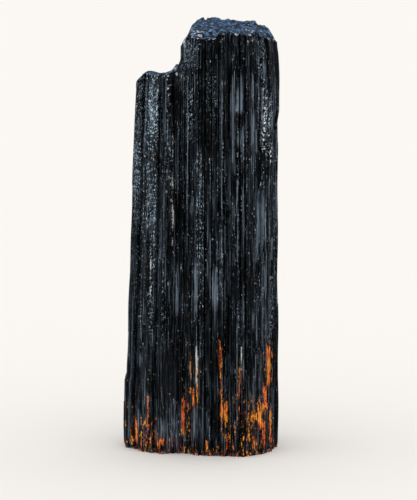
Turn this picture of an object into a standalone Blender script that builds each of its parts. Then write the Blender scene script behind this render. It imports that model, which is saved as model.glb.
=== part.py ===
"""Black tourmaline crystal: a heavy log of two prisms grown together, standing on its broken base.

The long prism ends in a rough break that slopes to the front. A shorter prism has grown
against its left side and ends in a shoulder. Both are one solid. Their sides are built of
upright laths with grooves between them, and each lath may step in or out where it has broken.
+Z is up, the front faces -Y, and the origin is under the middle of the crystal's box.
"""

import bmesh
import bpy
import numpy as np

MM = 0.001
SEED = 41

# Heights, in millimetres.
HEIGHT = 262.0
SHOULDER = 229.0
WALL_FOOT = 4.0
LOW_BREAKS = (32.0, 96.0)
HIGH_BREAKS = (128.0, 206.0)

# The outline at the height of the shoulder, in millimetres, anticlockwise from the front valley.
LONG_PRISM = [
    (-17.2, -17.5), (-13.0, -20.0), (-2.2, -30.5), (12.8, -34.0), (15.0, -31.0), (17.0, -33.3),
    (28.5, -32.2), (38.3, -23.8), (44.6, -6.0), (43.6, 12.0), (27.0, 33.5), (-5.0, 37.5), (-12.0, 34.0),
]
SHORT_PRISM = [
    (-15.0, 29.0), (-21.0, 33.0), (-31.5, 26.0), (-39.2, 9.0), (-39.6, -5.0), (-33.5, -16.0),
    (-27.5, -21.8), (-22.0, -24.8), (-19.4, -22.0),
]
# The side of the long prism that stands clear above the shoulder, from the back valley to the front.
CLEAR_SIDE = [(-15.0, 29.0), (-16.5, 21.0), (-16.0, -6.0), (-16.5, -14.0)]
TOP_MIDDLE = (16.0, 1.0)
BASE_MIDDLE = (-17.0, 2.0)

# How the outline changes with height.
LEFT_SPREAD = 0.21
RIGHT_SPREAD = 0.03
THICKER_BASE = 0.05
CLEAR_SIDE_TUCK = 0.3
RIGHT_SWELL = 1.3
LEFT_STEP = 1.2
VALLEY_FILL = 6.0

# Laths.
LATH_WIDTH = 3.9
LATH_STEP = 0.7
LATH_REACH = (-0.5, 1.7)
BROKEN_STEP = 1.3
CORNER_TURN = 4.0
GROOVE_WIDTH = 0.55
GROOVE_DEPTH = (0.5, 1.5)
DEEP_GROOVE = 2.6

# Rows from the middle of the base to the middle of the top.
RIM_REACH = 3.0
SHELF_SHARES = (0.3, 0.65, 1.0)
TOP_SHARES = (0.9, 0.74, 0.5, 0.24)
HACKLE_SIZES = (8.0, 3.6)
HACKLE_HEIGHTS = (2.6, 1.3)


def smooth(low, high, value):
    """0 below low and 1 above high, with a soft S between."""
    share = np.clip((value - low) / (high - low), 0.0, 1.0)
    return share * share * (3.0 - 2.0 * share)


def starts_of(corners):
    """The distance round the closed outline at which each of its sides starts, and its whole length."""
    sides = np.linalg.norm(np.roll(corners, -1, axis=0) - corners, axis=1)
    return np.concatenate([[0.0], np.cumsum(sides)])


def lath_edges(starts, rng):
    """Distances round the closed outline where one lath meets the next: each corner, and cuts between."""
    edges = []
    for start, side in zip(starts, np.diff(starts)):
        count = max(1, round(side / LATH_WIDTH))
        shares = np.cumsum(rng.uniform(0.5, 1.5, count))
        edges.extend(start + side * np.concatenate([[0.0], shares[:-1] / shares[-1]]))
    return np.array(edges)


def points_along(corners, starts, distance):
    """The outline's points at these distances round it."""
    closed = np.vstack([corners, corners[:1]])
    wrapped = distance % starts[-1]
    return np.stack([np.interp(wrapped, starts, closed[:, axis]) for axis in (0, 1)], axis=-1)


def facing_along(corners, starts, distance):
    """The directions that face out at these distances, turned gradually through each corner."""
    ahead = points_along(corners, starts, distance + CORNER_TURN)
    behind = points_along(corners, starts, distance - CORNER_TURN)
    out = np.stack([(ahead - behind)[:, 1], (behind - ahead)[:, 0]], axis=-1)
    return out / np.linalg.norm(out, axis=1, keepdims=True)


def spread(x, y, z):
    """Widens and thickens the crystal toward the base, and tucks in the side clear of the shoulder."""
    down = (1.0 - z / SHOULDER).clip(0.0, 0.86)
    tuck = 1.0 - CLEAR_SIDE_TUCK * smooth(SHOULDER - 1.0, SHOULDER + 9.0, z)
    swell = RIGHT_SWELL * smooth(250.0, 222.0, z) * smooth(198.0, 208.0, z) * smooth(34.0, 44.0, x)
    step = LEFT_STEP * smooth(46.0, 42.0, z) * smooth(-34.0, -39.0, x)
    left = x * (1.0 + LEFT_SPREAD * down) * tuck - step
    right = x * (1.0 + RIGHT_SPREAD * down) + swell
    return np.where(x < 0.0, left, right), y * (1.0 + THICKER_BASE * (1.0 - z / HEIGHT))


def hackle(x, y, table):
    """Flat-faceted bumps: heights drawn on square lattices of two sizes, joined by straight slopes."""
    total = 0.0 * x
    for layer, (size, height) in enumerate(zip(HACKLE_SIZES, HACKLE_HEIGHTS)):
        across = x / size + 17.3 * layer + 20.0
        along = (y + 0.4 * x) / size + 7.7 * layer + 20.0
        column = np.floor(across).astype(int)
        row = np.floor(along).astype(int)
        u = across - column
        v = along - row
        near = table[row, column] * (1.0 - u) + table[row, column + 1] * u
        far = table[row + 1, column] * (1.0 - u) + table[row + 1, column + 1] * u
        total = total + height * (near * (1.0 - v) + far * v - 0.5)
    return total


def shelf_height(x):
    """Height of the shoulder: its outer corner is worn down and its inner end climbs the clear side."""
    places = [-39.4, -36.3, -33.6, -31.0, -24.0, -19.0, -16.0]
    heights = [-6.0, -2.4, -0.6, 0.8, -0.6, 0.4, WALL_FOOT]
    return SHOULDER + np.interp(x, places, heights)


def top_height(x, y):
    """Height of the broken top: it slopes to the front, and drops at the left and the right end."""
    front = np.interp(y, [-34.0, -15.0, 10.0, 28.0], [9.0, 6.5, 2.0, 0.0])
    front += 4.5 * smooth(11.0, 7.0, x) * smooth(-16.0, -26.0, y)
    left = np.interp(x, [-13.0, -8.7, -6.8, -5.7, -3.5, 2.4, 8.0], [17.0, 12.0, 8.0, 5.5, 2.8, 0.7, 0.0])
    right = np.interp(x, [8.0, 30.0, 34.0, 37.0, 40.0, 44.0], [0.0, 1.8, 2.5, 3.4, 5.2, 9.0])
    return HEIGHT - np.maximum(front, left) - right


def build_rows(rng):
    """Points of the crystal's skin, as rows of columns. The first and last rows are single points."""
    corners = np.array(LONG_PRISM + SHORT_PRISM)
    starts = starts_of(corners)
    edges = lath_edges(starts, rng)
    count = len(edges)
    length = starts[-1]
    widths = np.diff(np.append(edges, length))
    at_corner = np.isin(edges, starts)

    # Each lath has its own place in or out in three stretches, and its own two breaks.
    places = rng.normal(0.2, LATH_STEP, (3, count)).clip(*LATH_REACH)
    broken = rng.random((2, count)) < 0.5
    steps = rng.uniform(-BROKEN_STEP, BROKEN_STEP, (2, count))
    for stretch in (1, 2):
        stepped = (places[stretch - 1] + steps[stretch - 1]).clip(*LATH_REACH)
        places[stretch] = np.where(broken[stretch - 1], stepped, places[stretch - 1])
    low = rng.uniform(*LOW_BREAKS, count)
    high = rng.uniform(*HIGH_BREAKS, count)
    grooves = rng.uniform(*GROOVE_DEPTH, count)
    grooves[rng.random(count) < 0.12] = DEEP_GROOVE
    grooves[at_corner] = 0.25
    chips = rng.uniform(0.4, 2.2, count)
    feet = rng.uniform(2.5, 8.0, count)
    rims = rng.normal(0.0, 0.5, count)
    bumps = rng.random((80, 80))

    # Three columns for each lath: the groove before it, and the two edges of its flat face.
    inset = np.minimum(GROOVE_WIDTH, 0.22 * widths)
    distance = np.stack([edges, edges + inset, edges + widths - inset], axis=1).ravel()
    lath = np.repeat(np.arange(count), 3)
    in_groove = np.tile([True, False, False], count)

    def by_column(values, join):
        """A lath's value at its two edges. A groove takes what join makes of the laths beside it."""
        beside = join(values, np.roll(values, 1))
        return np.where(in_groove, beside[lath], values[lath])

    deepen = np.where(in_groove, grooves[lath], 0.0)
    depth = [by_column(place, np.maximum) + deepen for place in places]
    low_break = by_column(low, np.minimum)
    high_break = by_column(high, np.minimum)
    chip = by_column(chips, np.maximum)
    foot = by_column(feet, np.minimum)
    rim = by_column(rims, np.minimum)

    outer = points_along(corners, starts, distance)
    outward = facing_along(corners, starts, distance)
    twin_start = starts[len(LONG_PRISM)]
    on_twin = distance > twin_start
    clear_corners = np.array(LONG_PRISM + CLEAR_SIDE)
    clear_starts = starts_of(clear_corners)
    share = ((distance - twin_start) / (length - twin_start)).clip(0.0, 1.0)
    clear_distance = np.where(on_twin, twin_start + share * (clear_starts[-1] - twin_start), distance)
    inner = points_along(clear_corners, clear_starts, clear_distance)
    inward = facing_along(clear_corners, clear_starts, clear_distance)

    from_front = np.minimum(distance, length - distance)
    from_back = np.abs(distance - twin_start)
    near_valley = (1.0 - from_front / 10.0).clip(0.0, 1.0)
    calm = 0.05 + 0.95 * smooth(1.0, 13.0, np.minimum(from_front, from_back))
    depth = [place * calm for place in depth]
    chip = chip * calm

    def flank(place, facing, sunk, z):
        """One row of the side: the outline moved in by the laths' depth, then spread for its height."""
        filled = VALLEY_FILL * near_valley * smooth(150.0, 60.0, z)
        moved = place - facing * sunk[:, None]
        x, y = spread(moved[:, 0], moved[:, 1] - filled, z)
        return np.stack([x, y, z + 0.0 * x], axis=-1)

    ones = np.ones(len(distance))
    rows = [
        flank(outer, outward, (RIM_REACH + 1.5) * ones, 0.0 * ones),
        flank(outer, outward, (depth[0] + chip).clip(-1.0, RIM_REACH), 0.0 * ones),
        flank(outer, outward, depth[0], foot),
        flank(outer, outward, depth[0], low_break),
        flank(outer, outward, depth[1], low_break + 1.2),
        flank(outer, outward, depth[1], 112.0 * ones),
        flank(outer, outward, depth[1], high_break),
        flank(outer, outward, depth[2], high_break + 1.2),
    ]

    # The shoulder: the short prism's rows turn inward, and the long prism's go on up.
    level = SHOULDER * ones
    crest = flank(outer, outward, depth[2] + 0.5 * on_twin, level)
    on_crest = shelf_height(crest[:, 0]) + 0.6 * hackle(crest[:, 0], crest[:, 1], bumps) + 0.6 * rim
    crest[:, 2] = np.where(on_twin, on_crest, level)
    plain_crest = flank(outer, outward, 1.5 * calm, level)
    kept = np.where(on_twin, 0.6, 1.0) * depth[2]
    foot_of_side = flank(inner, inward, kept, level + WALL_FOOT)
    rows.append(crest)
    for share_in in SHELF_SHARES:
        row = crest + (foot_of_side - crest) * share_in
        from_crest = plain_crest + (foot_of_side - plain_crest) * share_in
        row[:, :2] = np.where(on_twin[:, None], from_crest[:, :2], row[:, :2])
        on_shelf = shelf_height(row[:, 0]) + 0.6 * hackle(row[:, 0], row[:, 1], bumps)
        row[:, 2] = np.where(on_twin & (share_in < 1.0), on_shelf, row[:, 2])
        rows.append(row)

    # The clear part of the long prism, up to its broken rim.
    edge = flank(inner, inward, (kept + chip).clip(-1.0, RIM_REACH), level + WALL_FOOT + 12.0)
    edge[:, 2] = top_height(edge[:, 0], edge[:, 1]) + 0.5 * hackle(edge[:, 0], edge[:, 1], bumps) + rim
    below = flank(inner, inward, kept, level + 12.0)
    below[:, 2] = 0.4 * foot_of_side[:, 2] + 0.6 * edge[:, 2]
    rows.extend([below, edge])

    # The break across the top.
    middle = np.array(TOP_MIDDLE)
    plain_edge = flank(inner, inward, 1.8 * ones, level + WALL_FOOT + 12.0)
    for share_out in TOP_SHARES:
        like_edge = smooth(0.65, 1.0, share_out)
        ring = plain_edge + (edge - plain_edge) * like_edge
        ring[:, :2] = middle + (ring[:, :2] - middle) * share_out
        ring[:, 2] = top_height(ring[:, 0], ring[:, 1]) + hackle(ring[:, 0], ring[:, 1], bumps)
        rows.append(ring)

    start = np.array([[*BASE_MIDDLE, 0.0]])
    end = np.array([[*middle, top_height(*middle)]])
    return start, np.array(rows), end


def skin(name, start, rows, end):
    """Wraps a sphere's net round the rows: its poles become the middles of the base and the top."""
    rings, columns = rows.shape[:2]
    net = bmesh.new()
    bmesh.ops.create_uvsphere(net, u_segments=columns, v_segments=rings + 1, radius=1.0)
    for vertex in net.verts:
        x, y, z = vertex.co
        level = round((np.arcsin(np.clip(z, -1.0, 1.0)) / np.pi + 0.5) * (rings + 1))
        column = round(np.arctan2(y, x) / (2.0 * np.pi) * columns) % columns
        if level == 0:
            place = start[0]
        elif level == rings + 1:
            place = end[0]
        else:
            place = rows[level - 1, column]
        vertex.co = place * MM
    bmesh.ops.triangulate(net, faces=net.faces[:])
    mesh = bpy.data.meshes.new(name)
    net.to_mesh(mesh)
    net.free()
    return mesh


def stone_material():
    """Nearly black, glassy stone."""
    material = bpy.data.materials.new("tourmaline")
    material.use_nodes = True
    shader = material.node_tree.nodes["Principled BSDF"]
    shader.inputs["Base Color"].default_value = (0.012, 0.013, 0.016, 1.0)
    shader.inputs["Roughness"].default_value = 0.35
    shader.inputs["IOR"].default_value = 1.65
    return material


def centred(start, rows, end):
    """The same points with the middle of their box over the origin and their lowest at zero."""
    every = np.concatenate([start, rows.reshape(-1, 3), end])
    low, high = every.min(axis=0), every.max(axis=0)
    shift = np.array([*(0.5 * (low + high))[:2], low[2]])
    return start - shift, rows - shift, end - shift


for leftover in list(bpy.data.objects):
    bpy.data.objects.remove(leftover)

collection = bpy.data.collections.new("tourmaline_crystal")
bpy.context.scene.collection.children.link(collection)
crystal_mesh = skin("tourmaline_crystal", *centred(*build_rows(np.random.default_rng(SEED))))
crystal_mesh.materials.append(stone_material())
crystal = bpy.data.objects.new("tourmaline_crystal", crystal_mesh)
collection.objects.link(crystal)
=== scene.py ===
# %% [markdown]
# # A black tourmaline crystal
#
# The real object is a heavy log of black tourmaline, about a quarter of a metre tall. Two upright
# prisms have grown together: a long one with a rough broken top, and a shorter one on its left
# that ends in a shoulder. Their sides are ribbed from end to end, and orange iron stain has crept
# up the grooves from the base.
#
# The solid model of it is loaded first. It fixes the size and the place of everything.

import bpy
import numpy as np
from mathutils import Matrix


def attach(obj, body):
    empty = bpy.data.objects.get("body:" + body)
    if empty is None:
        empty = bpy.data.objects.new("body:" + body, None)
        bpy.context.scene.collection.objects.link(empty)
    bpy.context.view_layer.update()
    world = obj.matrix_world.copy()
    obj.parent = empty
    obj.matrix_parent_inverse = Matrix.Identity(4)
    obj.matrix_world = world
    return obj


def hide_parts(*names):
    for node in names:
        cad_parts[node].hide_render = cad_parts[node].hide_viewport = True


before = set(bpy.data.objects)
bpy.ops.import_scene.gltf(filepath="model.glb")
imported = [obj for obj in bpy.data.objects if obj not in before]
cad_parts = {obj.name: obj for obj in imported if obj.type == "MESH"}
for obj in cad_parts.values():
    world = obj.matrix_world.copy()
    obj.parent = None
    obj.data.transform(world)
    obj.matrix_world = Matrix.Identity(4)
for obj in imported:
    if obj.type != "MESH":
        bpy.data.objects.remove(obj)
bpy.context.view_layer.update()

# %% [markdown]
# ## The named sizes
#
# The skin made here is a finer version of the solid, so it starts from the same sizes: the two
# heights and the outline that a level cut would show. The numbers are in millimetres, and the
# mesh turns them into metres.

# %% Sizes of the crystal
MM = 0.001
SEED = 41
HEIGHT = 262
SHOULDER = 229
WALL_FOOT = 4
LOW_BREAKS = (32, 96)
HIGH_BREAKS = (128, 206)
BREAK_HALF = 0.6

LONG_PRISM = [
    (-17.2, -17.5), (-13, -20), (-2.2, -30.5), (12.8, -34), (15, -31), (17, -33.3),
    (28.5, -32.2), (38.3, -23.8), (44.6, -6), (43.6, 12), (27, 33.5), (-5, 37.5), (-12, 34),
]
SHORT_PRISM = [
    (-15, 29), (-21, 33), (-31.5, 26), (-39.2, 9), (-39.6, -5), (-33.5, -16),
    (-27.5, -21.8), (-22, -24.8), (-19.4, -22),
]
CLEAR_SIDE = [(-15, 29), (-16.5, 21), (-16, -6), (-16.5, -14)]
TOP_MIDDLE = (16, 1)
BASE_MIDDLE = (-17, 2)
BOX_MIDDLE = (-1.0310388726117985, 1.8902774415632493)

LEFT_SPREAD = 0.21
RIGHT_SPREAD = 0.03
THICKER_BASE = 0.05
CLEAR_SIDE_TUCK = 0.3
RIGHT_SWELL = 1.3
LEFT_STEP = 1.2
CLEAR_SIDE_SWELL = 1.6
VALLEY_FILL = 6

LATH_WIDTH = 3.9
LATH_STEP = 0.7
LATH_REACH = (-0.5, 1.7)
BROKEN_STEP = 1.3
CORNER_TURN = 4
GROOVE_WIDTH = 0.55
GROOVE_DEPTH = (0.5, 1.5)
DEEP_GROOVE = 2.6
RIM_REACH = 3


def smooth(low, high, value):
    """0 below low and 1 above high, with a soft S between: 3s^2 - 2s^3 of the share s of the way."""
    share = np.clip((value - low) / (high - low), 0, 1)
    return share * share * (3 - 2 * share)


print(f"the crystal is {HEIGHT:.0f} mm high and its shoulder {SHOULDER:.0f} mm")

# %% [markdown]
# ## Walking round the outline
#
# A crystal with flat faces could be cut from a cylinder face by face. Here it is easier to walk
# round its outline: one number, the distance walked, gives a point of the outline and the
# direction that faces out there. The direction turns gradually through each corner, so that two
# points beside a corner never cross when they move in or out.


# %% The outline as a path
def starts_of(corners):
    """The distance round the closed outline at which each of its sides starts, and its whole length."""
    sides = np.linalg.norm(np.roll(corners, -1, axis=0) - corners, axis=1)
    return np.concatenate([[0], np.cumsum(sides)])


def points_along(corners, starts, distance):
    """The outline's points at these distances round it."""
    closed = np.vstack([corners, corners[:1]])
    wrapped = distance % starts[-1]
    return np.stack([np.interp(wrapped, starts, closed[:, axis]) for axis in (0, 1)], axis=-1)


def facing_along(corners, starts, distance):
    """The way out: a quarter turn from the line between the points a little behind and ahead."""
    ahead = points_along(corners, starts, distance + CORNER_TURN)
    behind = points_along(corners, starts, distance - CORNER_TURN)
    out = np.stack([(ahead - behind)[:, 1], (behind - ahead)[:, 0]], axis=-1)
    return out / np.linalg.norm(out, axis=1, keepdims=True)


def spread(x, y, z):
    """The outline at height z: wider and thicker toward the base, and tucked in above the shoulder."""
    down = (1 - z / SHOULDER).clip(0, 0.86)
    tuck = 1 - CLEAR_SIDE_TUCK * smooth(SHOULDER - 1, SHOULDER + 9, z)
    swell = RIGHT_SWELL * smooth(250, 222, z) * smooth(198, 208, z) * smooth(34, 44, x)
    step = LEFT_STEP * smooth(46, 42, z) * smooth(-34, -39, x)
    left = x * (1 + LEFT_SPREAD * down) * tuck - step
    right = x * (1 + RIGHT_SPREAD * down) + swell
    return np.where(x < 0, left, right), y * (1 + THICKER_BASE * (1 - z / HEIGHT))


corners = np.array(LONG_PRISM + SHORT_PRISM)
starts = starts_of(corners)
around = starts[-1]
print(f"the outline is {around:.0f} mm round")

# %% [markdown]
# ## The laths
#
# Tourmaline grows as a bundle of upright laths. Each lath is a flat strip a few millimetres wide,
# with a groove on each side, and where it has broken it steps in or out. The widths, steps and
# breaks are drawn from a seeded generator in the same order as for the solid, so the skin's laths
# lie on the solid's laths.

# %% Draw the laths as the solid has them
rng = np.random.default_rng(SEED)
edges = []
for start, length in zip(starts, np.diff(starts)):
    shares = np.cumsum(rng.uniform(0.5, 1.5, max(1, round(length / LATH_WIDTH))))
    edges.extend(start + length * np.concatenate([[0], shares[:-1] / shares[-1]]))
edges = np.array(edges)
laths = len(edges)
widths = np.diff(np.append(edges, around))

places = rng.normal(0.2, LATH_STEP, (3, laths)).clip(*LATH_REACH)
broken_through = rng.random((2, laths)) < 0.5
steps = rng.uniform(-BROKEN_STEP, BROKEN_STEP, (2, laths))
for stretch in (1, 2):
    stepped = (places[stretch - 1] + steps[stretch - 1]).clip(*LATH_REACH)
    places[stretch] = np.where(broken_through[stretch - 1], stepped, places[stretch - 1])
low_breaks = rng.uniform(*LOW_BREAKS, laths)
high_breaks = rng.uniform(*HIGH_BREAKS, laths)
grooves = rng.uniform(*GROOVE_DEPTH, laths)
grooves[rng.random(laths) < 0.12] = DEEP_GROOVE
grooves[np.isin(edges, starts)] = 0.25
chips = rng.uniform(0.4, 2.2, laths)
feet = rng.uniform(2.5, 8, laths)
rims = rng.normal(0, 0.5, laths)
bumps = rng.random((80, 80))
insets = np.minimum(GROOVE_WIDTH, 0.22 * widths)
print(f"{laths} laths, {widths.min():.1f} to {widths.max():.1f} mm wide")

# %% [markdown]
# ## The ribs on the laths
#
# Up close each lath is itself ribbed. It is split into ribs about a millimetre and a half
# wide. A rib has its own depth and is snapped off here and there, which leaves the many small
# steps that catch the light. Each rib takes four columns of the mesh: its groove, its near edge,
# its middle and its far edge.

# %% Split the laths into ribs
RIB_WIDTH = 1.6
RIB_STEP = 0.26
RIB_GROOVE = (0.08, 0.4)
RIB_CROWN = 0.18
RIB_LENGTH = (9, 60)
CELLS = 64
ROW_STEP = 2.3

fine = np.random.default_rng(SEED + 1)
ribs_of_laths = []
for lath in range(laths):
    shares = np.cumsum(fine.uniform(0.6, 1.4, max(1, round(widths[lath] / RIB_WIDTH))))
    cuts = np.concatenate([[0], shares / shares[-1]]) * widths[lath]
    spans = np.diff(cuts)
    left = np.minimum(0.24, 0.2 * spans)
    right = left.copy()
    left[0] = min(insets[lath], 0.4 * spans[0])
    right[-1] = min(insets[lath], 0.4 * spans[-1])
    ribs_of_laths.append([edges[lath] + cuts[:-1], spans, left, right, 0 * spans + lath])
rib_start, rib_width, rib_left, rib_right, rib_lath = np.hstack(ribs_of_laths)
rib_end = rib_start + rib_width
ribs = len(rib_start)

places_across = [rib_start, rib_start + rib_left, rib_start + 0.5 * rib_width, rib_end - rib_right]
distance = np.stack(places_across, axis=1).ravel()
rib = np.repeat(np.arange(ribs), 4)
lath_of = rib_lath.astype(int)[rib]
column_kind = np.tile(np.arange(4), ribs)
columns = len(distance)
print(f"{ribs} ribs, {columns} columns round the crystal")

# %% [markdown]
# ## How deep the skin lies
#
# The depth at a point is a sum: the lath's place, its grooves, the rib's place and groove, and a
# slow waviness along the lath. It is worked out at once for an array with a row for each height
# and a column for each place round the crystal.

# %% Depth of laths and ribs
rib_places = fine.uniform(-1, 1, (ribs, CELLS))
kept_cells = fine.random((ribs, CELLS)) < 0.45
for cell in range(1, CELLS):
    rib_places[:, cell] = np.where(kept_cells[:, cell], rib_places[:, cell - 1], rib_places[:, cell])
rib_lengths = fine.uniform(*RIB_LENGTH, ribs)
rib_phases = fine.uniform(0, 60, ribs)
rib_grooves = fine.uniform(*RIB_GROOVE, ribs)
rib_crowns = fine.uniform(-RIB_CROWN, RIB_CROWN, ribs)
lath_leans = fine.normal(0, 0.16, laths)
wave_phases = fine.uniform(0, 2 * np.pi, (2, laths))
wave_lengths = fine.uniform(34, 95, (2, laths))


def lath_place(lath, z):
    """How far in this lath lies at height z: one of its three places, changed at its two breaks."""
    upper = np.where(z < high_breaks[lath] + BREAK_HALF, places[1][lath], places[2][lath])
    return np.where(z < low_breaks[lath] + BREAK_HALF, places[0][lath], upper)


def lath_depth(z):
    """Depth of the laths and of the grooves between them: a groove falls in a straight line from the
    flat of the lath to a bottom below the deeper of the two laths beside it."""
    here = lath_place(lath_of, z)
    before = lath_place((lath_of - 1) % laths, z)
    after = lath_place((lath_of + 1) % laths, z)
    into = distance - edges[lath_of]
    left = (1 - into / insets[lath_of]).clip(0, 1)
    right = (1 - (widths[lath_of] - into) / insets[lath_of]).clip(0, 1)
    left_bottom = np.maximum(here, before) + grooves[lath_of] - here
    right_bottom = np.maximum(here, after) + grooves[(lath_of + 1) % laths] - here
    return here + left * left_bottom + right * right_bottom


def rib_cell(z):
    """Which snapped length of its rib a height falls on."""
    return np.floor((z + rib_phases[rib]) / rib_lengths[rib]).astype(int) % CELLS


def rib_depth(z):
    """Depth of the ribs: the snapped length's own place, a fine groove on the first of the four
    columns, a crown or dip on the middle one, and the lean and slow waves of the lath."""
    own = rib_places[rib, rib_cell(z)] * RIB_STEP
    groove = np.where(column_kind == 0, rib_grooves[rib], 0)
    crown = np.where(column_kind == 2, rib_crowns[rib], 0)
    lean = lath_leans[lath_of] * (distance - edges[lath_of] - 0.5 * widths[lath_of])
    turns = 2 * np.pi * z[..., None] / wave_lengths.T[lath_of] + wave_phases.T[lath_of]
    waves = (np.sin(turns) * np.array([0.14, 0.08])).sum(axis=-1)
    return own + groove + crown + lean + waves


def snap_rows(z, breaks, gap):
    """Moves the rows just under and just over each break close to it, for a crisp ledge."""
    below = (z < breaks) & (breaks - z < ROW_STEP)
    above = (z >= breaks) & (z - breaks < ROW_STEP)
    return np.where(below, breaks - gap, np.where(above, breaks + gap, z))


print(f"the ribs are snapped into lengths of {rib_lengths.min():.0f} to {rib_lengths.max():.0f} mm")

# %% [markdown]
# ## The broken surfaces
#
# The top, the shoulder and the edge of the base are breaks, not crystal faces. Tourmaline breaks
# with a hackly surface: small flat facets at odd angles. A lattice of random heights, joined by
# straight slopes, gives such facets. Several lattices of shrinking size are added up.


# %% Hackly heights
def hackle(x, y, sizes=(8, 3.6), heights=(2.6, 1.3)):
    """Sum over lattices of: height times the bilinear mix of the four random corners round the point."""
    total = 0 * x
    cells = len(bumps)
    for layer, (size, height) in enumerate(zip(sizes, heights)):
        across = x / size + 17.3 * layer + 20
        along = (y + 0.4 * x) / size + 7.7 * layer + 20
        column = np.floor(across).astype(int)
        row = np.floor(along).astype(int)
        u = across - column
        v = along - row
        column, row = column % cells, row % cells
        right, far = (column + 1) % cells, (row + 1) % cells
        near_mix = bumps[row, column] * (1 - u) + bumps[row, right] * u
        far_mix = bumps[far, column] * (1 - u) + bumps[far, right] * u
        total = total + height * (near_mix * (1 - v) + far_mix * v - 0.5)
    return total


def grit(x, y):
    """The finer facets of a break, too small for the solid."""
    return hackle(x + 3.1, y - 5.7, sizes=(2.7, 1.3), heights=(1.5, 0.7))


def plan(points):
    """The x and the y of points, as seen from above."""
    return points[..., 0], points[..., 1]


def shelf_height(x):
    """Height of the shoulder: its outer corner is worn down and its inner end climbs the clear side."""
    measured = [-39.4, -36.3, -33.6, -31, -24, -19, -16]
    heights = [-5.6, -1.7, 0.1, -0.2, -1.1, 0.2, WALL_FOOT]
    return SHOULDER + np.interp(x, measured, heights)


def top_height(x, y):
    """Height of the broken top: it slopes to the front, and drops at the left and the right end."""
    front = np.interp(y, [-34, -15, 10, 28], [9, 6.5, 2, 0])
    front = front + 4.5 * smooth(11, 7, x) * smooth(-16, -26, y)
    left = np.interp(x, [-13, -8.7, -6.8, -5.7, -3.5, 2.4, 8], [17, 10.6, 5.6, 4.2, 2.4, 0.7, 0])
    left = left + 1.8 * smooth(0.6, 1.8, x) * smooth(3.2, 2.4, x)
    left = left + 1.5 * smooth(9, 13, x) * smooth(20, 17, x)
    right = np.interp(x, [8, 30, 34, 37, 40, 44], [0, 1.8, 2.5, 3, 3.8, 9])
    right = right + 0.9 * smooth(32.6, 33.4, x) - 0.7 * smooth(26, 31, x) * smooth(33.4, 32.6, x)
    return HEIGHT - np.maximum(front, left) - right


print(f"the break is {top_height(10, 30) - top_height(10, -34):.1f} mm lower at the front")

# %% [markdown]
# ## The rows of the skin
#
# The skin is one closed surface. Its rows run from the middle of the base, out to the rim, up the
# side, in over the shoulder on the left, up the clear side of the long prism, and in to the middle
# of the broken top. The two middles are single points, where the columns meet.

# %% Where the rows and columns run
twin_start = starts[len(LONG_PRISM)]
on_twin = distance > twin_start
clear_corners = np.array(LONG_PRISM + CLEAR_SIDE)
clear_starts = starts_of(clear_corners)
twin_share = ((distance - twin_start) / (around - twin_start)).clip(0, 1)
clear_distance = np.where(on_twin, twin_start + twin_share * (clear_starts[-1] - twin_start), distance)
outer = points_along(corners, starts, distance)
outward = facing_along(corners, starts, distance)
inner = points_along(clear_corners, clear_starts, clear_distance)
inward = facing_along(clear_corners, clear_starts, clear_distance)

from_front = np.minimum(distance, around - distance)
from_back = np.abs(distance - twin_start)
near_valley = (1 - from_front / 10).clip(0, 1)
calm = 0.05 + 0.95 * smooth(1, 13, np.minimum(from_front, from_back))
fine_calm = 0.25 + 0.75 * smooth(0.5, 5, np.minimum(from_front, from_back))

base_rows = [0, 0.7, 1.6, 2.8, 4.2, 6]
side_rows = np.concatenate([base_rows, np.arange(8, SHOULDER - 1.5, ROW_STEP)])
crown_shares = np.array([0.12, 0.26, 0.4, 0.55, 0.7, 0.84, 0.94])[:, None]
shelf_shares = np.concatenate([[0.03, 0.08], np.linspace(0.15, 1, 11)])
cap_shares = np.concatenate([[0.99, 0.975], np.linspace(0.955, 0.05, 40)])[:, None, None]


def flank(place, facing, sunk, z):
    """Rows of the side: the outline moved in by the depth, with the valley filled low down, then spread."""
    filled = VALLEY_FILL * near_valley * smooth(150, 60, z)
    x = place[:, 0] - facing[:, 0] * sunk
    y = place[:, 1] - facing[:, 1] * sunk - filled
    x, y = spread(x, y, z)
    return np.stack([x, y, z + 0 * x], axis=-1)


def round_at(x):
    """The distance round the outline at which its front lies at x."""
    long_front = (distance < 75) & (outer[:, 1] < -15)
    twin_front = on_twin & (outer[:, 1] < -5)
    on_long, on_short = (np.interp(x, outer[part, 0], distance[part]) for part in (long_front, twin_front))
    return on_long if x > -17 else on_short


def split_off(z):
    """Depth where splinters have come away. Each is a middle and half width round the outline, a lower
    and an upper end, and a depth. Its sides fall steeply, and both ends are cut at a slant."""
    gone = 0 * z
    for middle_at, half, low, high, depth in SPLIT_OFF:
        from_middle = np.abs((distance - middle_at + 0.5 * around) % around - 0.5 * around)
        slope = 1.2 * (distance - middle_at) * (from_middle < 2 * half)
        within = smooth(low - 0.5, low + 0.5, z + slope) * smooth(high + 0.5, high - 0.5, z - 0.6 * slope)
        gone = np.maximum(gone, depth * smooth(half + 0.35, half - 0.2, from_middle) * within)
    return gone


def rows_at(z):
    """Heights as rows by columns, with the rows beside each lath's and rib's break moved to it. Each
    row stays a little above the one below it."""
    z = z[:, None] + np.zeros(columns)
    span = rib_lengths[rib]
    nearest = np.round((z + rib_phases[rib]) / span) * span - rib_phases[rib]
    snapped = snap_rows(z, nearest, 0.2)
    for breaks in (low_breaks, high_breaks):
        snapped = snap_rows(snapped, breaks[lath_of] + BREAK_HALF, 0.25)
    kept = (z > 7) & (snapped < SHOULDER - 1)
    least = 0.04 * np.arange(len(z))[:, None]
    return np.maximum.accumulate(np.where(kept, snapped, z) - least, axis=0) + least


print(f"{len(side_rows)} rows up the side, {len(shelf_shares)} over the shoulder")

# %% [markdown]
# ## The sides
#
# Here and there a splinter has come away and left a shallow notch. On the front the notches have
# their own places, the others are drawn at random.

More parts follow.
